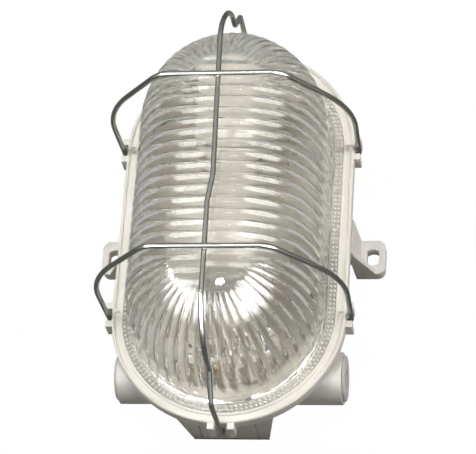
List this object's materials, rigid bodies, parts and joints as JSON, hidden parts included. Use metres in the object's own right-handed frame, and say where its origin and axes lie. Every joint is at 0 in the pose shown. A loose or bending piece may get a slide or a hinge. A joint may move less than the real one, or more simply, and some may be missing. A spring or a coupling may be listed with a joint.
{
  "type": "bulkhead light",
  "caption": "Oval wall bulkhead light with a ribbed glass dome held by a clip-on ring, a wire guard, side cable entries and wall lugs, with a lamp inside.",
  "frame": {"origin": "centre of the flat back that meets the wall", "axes": "+Z out of the wall through the glass, +Y along the length towards the lampholder, +X to the right-hand cable entry"},
  "size_m": [0.1404, 0.2084, 0.1093],
  "materials": {
    "base_plastic": "moulded light grey plastic",
    "ring_plastic": "moulded off-white plastic",
    "dome_glass": "clear pressed glass with moulded ribs inside",
    "seal_rubber": "off-white foam rubber",
    "guard_wire": "bright zinc-plated steel wire",
    "grommet_rubber": "light grey rubber",
    "porcelain": "white glazed porcelain",
    "contact_brass": "pressed brass",
    "bracket_steel": "zinc-plated sheet steel",
    "screw_steel": "zinc-plated steel screws",
    "opal_lamp": "opal glass bulb with a metal cap",
    "terminal_plastic": "natural moulded plastic",
    "lead_sleeving": "off-white heat-resistant sleeving"
  },
  "bodies": {
    "base_body": {"base": "base_plastic", "base_end": "base_plastic", "base_back": "base_plastic", "seal": "seal_rubber", "left_cable_grommet": "grommet_rubber", "right_cable_grommet": "grommet_rubber", "lampholder_body": "porcelain", "lampholder_screw_shell": "contact_brass", "lampholder_centre_contact": "contact_brass", "lampholder_bracket": "bracket_steel", "bracket_screws": "screw_steel", "lampholder_screws": "screw_steel", "lamp": "opal_lamp", "terminal_block": "terminal_plastic", "terminal_tubes": "contact_brass", "terminal_screws": "screw_steel", "terminal_block_screws": "screw_steel", "live_lead": "lead_sleeving", "neutral_lead": "lead_sleeving"},
    "cover": {"ring": "ring_plastic", "glass": "dome_glass", "guard_long_wire": "guard_wire", "guard_upper_cross_wire": "guard_wire", "guard_lower_cross_wire": "guard_wire"}
  },
  "joints": [
    {"name": "cover_lift", "type": "slide", "parent": "base_body", "child": "cover", "axis": [0, 0, 1], "range_m": [0, 0.1]}
  ]
}
